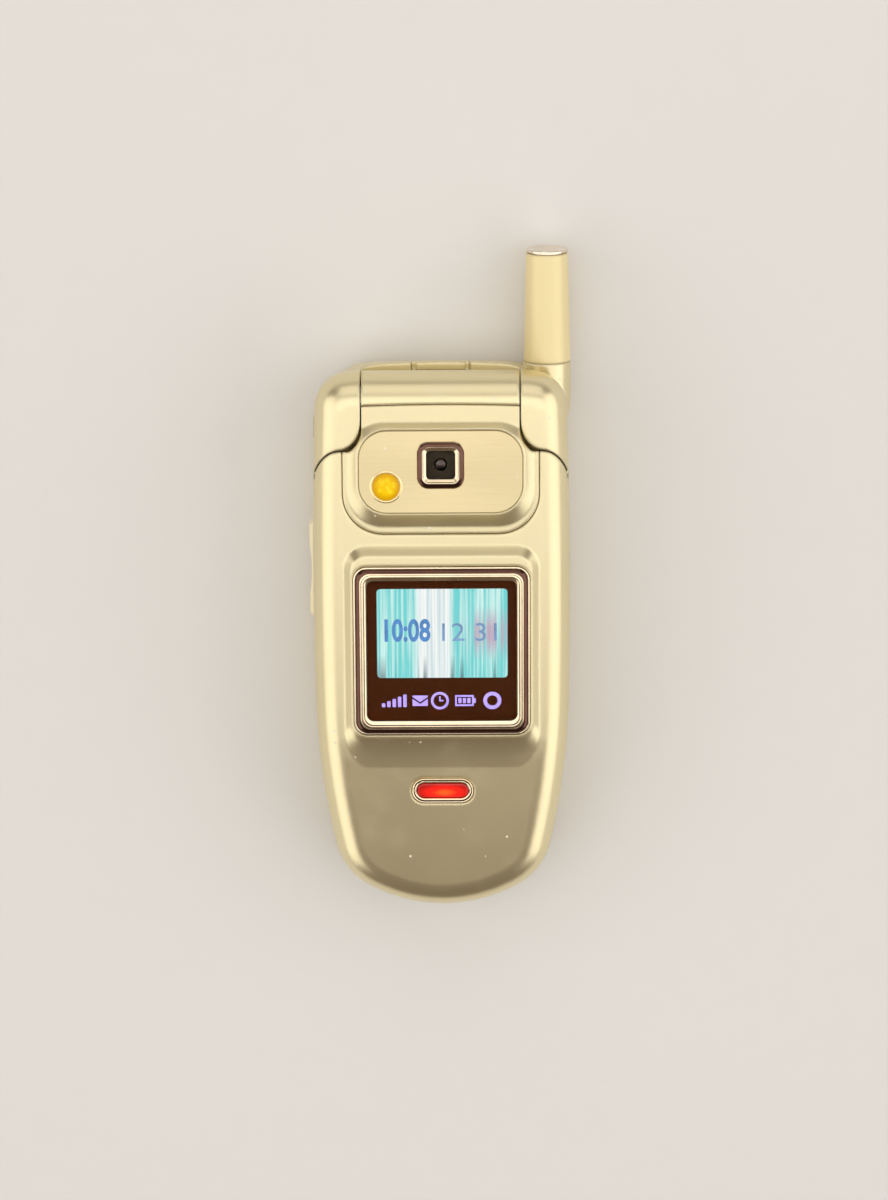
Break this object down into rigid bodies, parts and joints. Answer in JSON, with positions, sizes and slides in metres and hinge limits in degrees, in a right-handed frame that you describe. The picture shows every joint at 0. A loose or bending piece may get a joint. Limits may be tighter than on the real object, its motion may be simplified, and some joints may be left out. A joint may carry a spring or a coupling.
{
  "type": "flip phone",
  "caption": "Clamshell mobile phone, closed, with a camera and small display in its lid, a keypad inside, hinge ears and a pull-out whip antenna.",
  "frame": {"origin": "middle of the flat back face that the closed phone rests on", "axes": "+X to the phone's right seen from the lid, +Y towards the hinge and antenna, +Z out of the closed lid"},
  "size_m": [0.0468, 0.1183, 0.0229],
  "materials": {
    "silver_paint": "warm silver metallic paint, satin",
    "brushed_plate": "brushed along X",
    "dark_chrome": "polished, smoky",
    "dark_glass": "gloss window, dark",
    "lamp_red": "clear red light guide",
    "flash_yellow": "yellow lens",
    "key_plastic": "satin moulded key",
    "inner_grey": "moulded, fine grain",
    "board_green": "solder mask",
    "plated_steel": "tin plated",
    "soft_rubber": "soft rubber",
    "whip_metal": "nickel plated"
  },
  "bodies": {
    "base": {"base_front_cover": "silver_paint", "base_rear_cover": "silver_paint", "service_plug": "silver_paint", "battery_pack": "silver_paint", "main_circuit_board": "board_green", "keypad_membrane": "soft_rubber", "shield_can": "plated_steel", "loudspeaker": "inner_grey", "earjack_socket": "inner_grey", "io_connector": "inner_grey", "base_screws": "plated_steel", "antenna_stub": "silver_paint"},
    "lid": {"lid_front_cover": "silver_paint", "lid_inner_cover": "silver_paint", "hinge_barrel": "silver_paint", "hinge_cartridge": "plated_steel", "hinge_sleeve": "inner_grey", "camera_panel": "silver_paint", "camera_plate": "brushed_plate", "camera_bezel": "dark_chrome", "camera_window": "dark_glass", "camera_module": "inner_grey", "flash_lens": "flash_yellow", "display_bezel": "dark_chrome", "display_window": "dark_glass", "sub_display_module": "inner_grey", "indicator_rim": "dark_chrome", "indicator_lens": "lamp_red", "main_display_window": "dark_glass", "main_display_module": "inner_grey", "lid_circuit_board": "board_green", "earpiece_speaker": "inner_grey", "earpiece_grille": "plated_steel", "lid_screws": "plated_steel", "lid_bumpers": "soft_rubber"},
    "antenna": {"antenna_whip": "whip_metal", "antenna_tip": "dark_chrome"},
    "rocker": {"volume_rocker": "silver_paint"},
    "latch": {"battery_latch": "silver_paint"},
    "port_flap": {"io_cover": "soft_rubber"},
    "jack_flap": {"earjack_cover": "soft_rubber"},
    "key_1_body": {"key_1": "key_plastic"},
    "key_2_body": {"key_2": "key_plastic"},
    "key_3_body": {"key_3": "key_plastic"},
    "key_4_body": {"key_4": "key_plastic"},
    "key_5_body": {"key_5": "key_plastic"},
    "key_6_body": {"key_6": "key_plastic"},
    "key_7_body": {"key_7": "key_plastic"},
    "key_8_body": {"key_8": "key_plastic"},
    "key_9_body": {"key_9": "key_plastic"},
    "key_star_body": {"key_star": "key_plastic"},
    "key_0_body": {"key_0": "key_plastic"},
    "key_hash_body": {"key_hash": "key_plastic"},
    "key_soft_left_body": {"key_soft_left": "key_plastic"},
    "key_soft_right_body": {"key_soft_right": "key_plastic"},
    "key_send_body": {"key_send": "key_plastic"},
    "key_end_body": {"key_end": "key_plastic"},
    "key_clear_body": {"key_clear": "key_plastic"},
    "key_ok_body": {"key_ok": "key_plastic"},
    "key_ring_body": {"key_ring": "key_plastic"}
  },
  "joints": [
    {"name": "lid_hinge", "type": "hinge", "parent": "base", "child": "lid", "pos_m": [0, 0.04419, 0.0156], "axis": [-1, 0, 0], "range_deg": [0, 160]},
    {"name": "antenna_slide", "type": "slide", "parent": "base", "child": "antenna", "axis": [0, 1, 0], "range_m": [0, 0.06]},
    {"name": "volume_rock", "type": "hinge", "parent": "base", "child": "rocker", "pos_m": [-0.02215, 0.01255, 0.0086], "axis": [0, 0, 1], "range_deg": [-1.5, 1.5], "stiffness_Nm_per_rad": 0.5},
    {"name": "battery_latch_slide", "type": "slide", "parent": "base", "child": "latch", "axis": [0, 1, 0], "range_m": [0, 0.0025], "stiffness_N_per_m": 300, "springref_m": -0.0005},
    {"name": "port_flap_swing", "type": "hinge", "parent": "base", "child": "port_flap", "pos_m": [0.0065, -0.04805, 0.0055], "axis": [0, 0, 1], "range_deg": [0, 100]},
    {"name": "jack_flap_swing", "type": "hinge", "parent": "base", "child": "jack_flap", "pos_m": [-0.0225, 0.0351, 0.0056], "axis": [0, 0, 1], "range_deg": [0, 95]},
    {"name": "key_1_press", "type": "slide", "parent": "base", "child": "key_1_body", "axis": [0, 0, -1], "range_m": [0, 0.0004], "stiffness_N_per_m": 300, "springref_m": -0.0001},
    {"name": "key_2_press", "type": "slide", "parent": "base", "child": "key_2_body", "axis": [0, 0, -1], "range_m": [0, 0.0004], "stiffness_N_per_m": 300, "springref_m": -0.0001},
    {"name": "key_3_press", "type": "slide", "parent": "base", "child": "key_3_body", "axis": [0, 0, -1], "range_m": [0, 0.0004], "stiffness_N_per_m": 300, "springref_m": -0.0001},
    {"name": "key_4_press", "type": "slide", "parent": "base", "child": "key_4_body", "axis": [0, 0, -1], "range_m": [0, 0.0004], "stiffness_N_per_m": 300, "springref_m": -0.0001},
    {"name": "key_5_press", "type": "slide", "parent": "base", "child": "key_5_body", "axis": [0, 0, -1], "range_m": [0, 0.0004], "stiffness_N_per_m": 300, "springref_m": -0.0001},
    {"name": "key_6_press", "type": "slide", "parent": "base", "child": "key_6_body", "axis": [0, 0, -1], "range_m": [0, 0.0004], "stiffness_N_per_m": 300, "springref_m": -0.0001},
    {"name": "key_7_press", "type": "slide", "parent": "base", "child": "key_7_body", "axis": [0, 0, -1], "range_m": [0, 0.0004], "stiffness_N_per_m": 300, "springref_m": -0.0001},
    {"name": "key_8_press", "type": "slide", "parent": "base", "child": "key_8_body", "axis": [0, 0, -1], "range_m": [0, 0.0004], "stiffness_N_per_m": 300, "springref_m": -0.0001},
    {"name": "key_9_press", "type": "slide", "parent": "base", "child": "key_9_body", "axis": [0, 0, -1], "range_m": [0, 0.0004], "stiffness_N_per_m": 300, "springref_m": -0.0001},
    {"name": "key_star_press", "type": "slide", "parent": "base", "child": "key_star_body", "axis": [0, 0, -1], "range_m": [0, 0.0004], "stiffness_N_per_m": 300, "springref_m": -0.0001},
    {"name": "key_0_press", "type": "slide", "parent": "base", "child": "key_0_body", "axis": [0, 0, -1], "range_m": [0, 0.0004], "stiffness_N_per_m": 300, "springref_m": -0.0001},
    {"name": "key_hash_press", "type": "slide", "parent": "base", "child": "key_hash_body", "axis": [0, 0, -1], "range_m": [0, 0.0004], "stiffness_N_per_m": 300, "springref_m": -0.0001},
    {"name": "key_soft_left_press", "type": "slide", "parent": "base", "child": "key_soft_left_body", "axis": [0, 0, -1], "range_m": [0, 0.0004], "stiffness_N_per_m": 300, "springref_m": -0.0001},
    {"name": "key_soft_right_press", "type": "slide", "parent": "base", "child": "key_soft_right_body", "axis": [0, 0, -1], "range_m": [0, 0.0004], "stiffness_N_per_m": 300, "springref_m": -0.0001},
    {"name": "key_send_press", "type": "slide", "parent": "base", "child": "key_send_body", "axis": [0, 0, -1], "range_m": [0, 0.0004], "stiffness_N_per_m": 300, "springref_m": -0.0001},
    {"name": "key_end_press", "type": "slide", "parent": "base", "child": "key_end_body", "axis": [0, 0, -1], "range_m": [0, 0.0004], "stiffness_N_per_m": 300, "springref_m": -0.0001},
    {"name": "key_clear_press", "type": "slide", "parent": "base", "child": "key_clear_body", "axis": [0, 0, -1], "range_m": [0, 0.0004], "stiffness_N_per_m": 300, "springref_m": -0.0001},
    {"name": "key_ok_press", "type": "slide", "parent": "base", "child": "key_ok_body", "axis": [0, 0, -1], "range_m": [0, 0.0004], "stiffness_N_per_m": 300, "springref_m": -0.0001},
    {"name": "key_ring_press", "type": "slide", "parent": "base", "child": "key_ring_body", "axis": [0, 0, -1], "range_m": [0, 0.0004], "stiffness_N_per_m": 300, "springref_m": -0.0001}
  ]
}
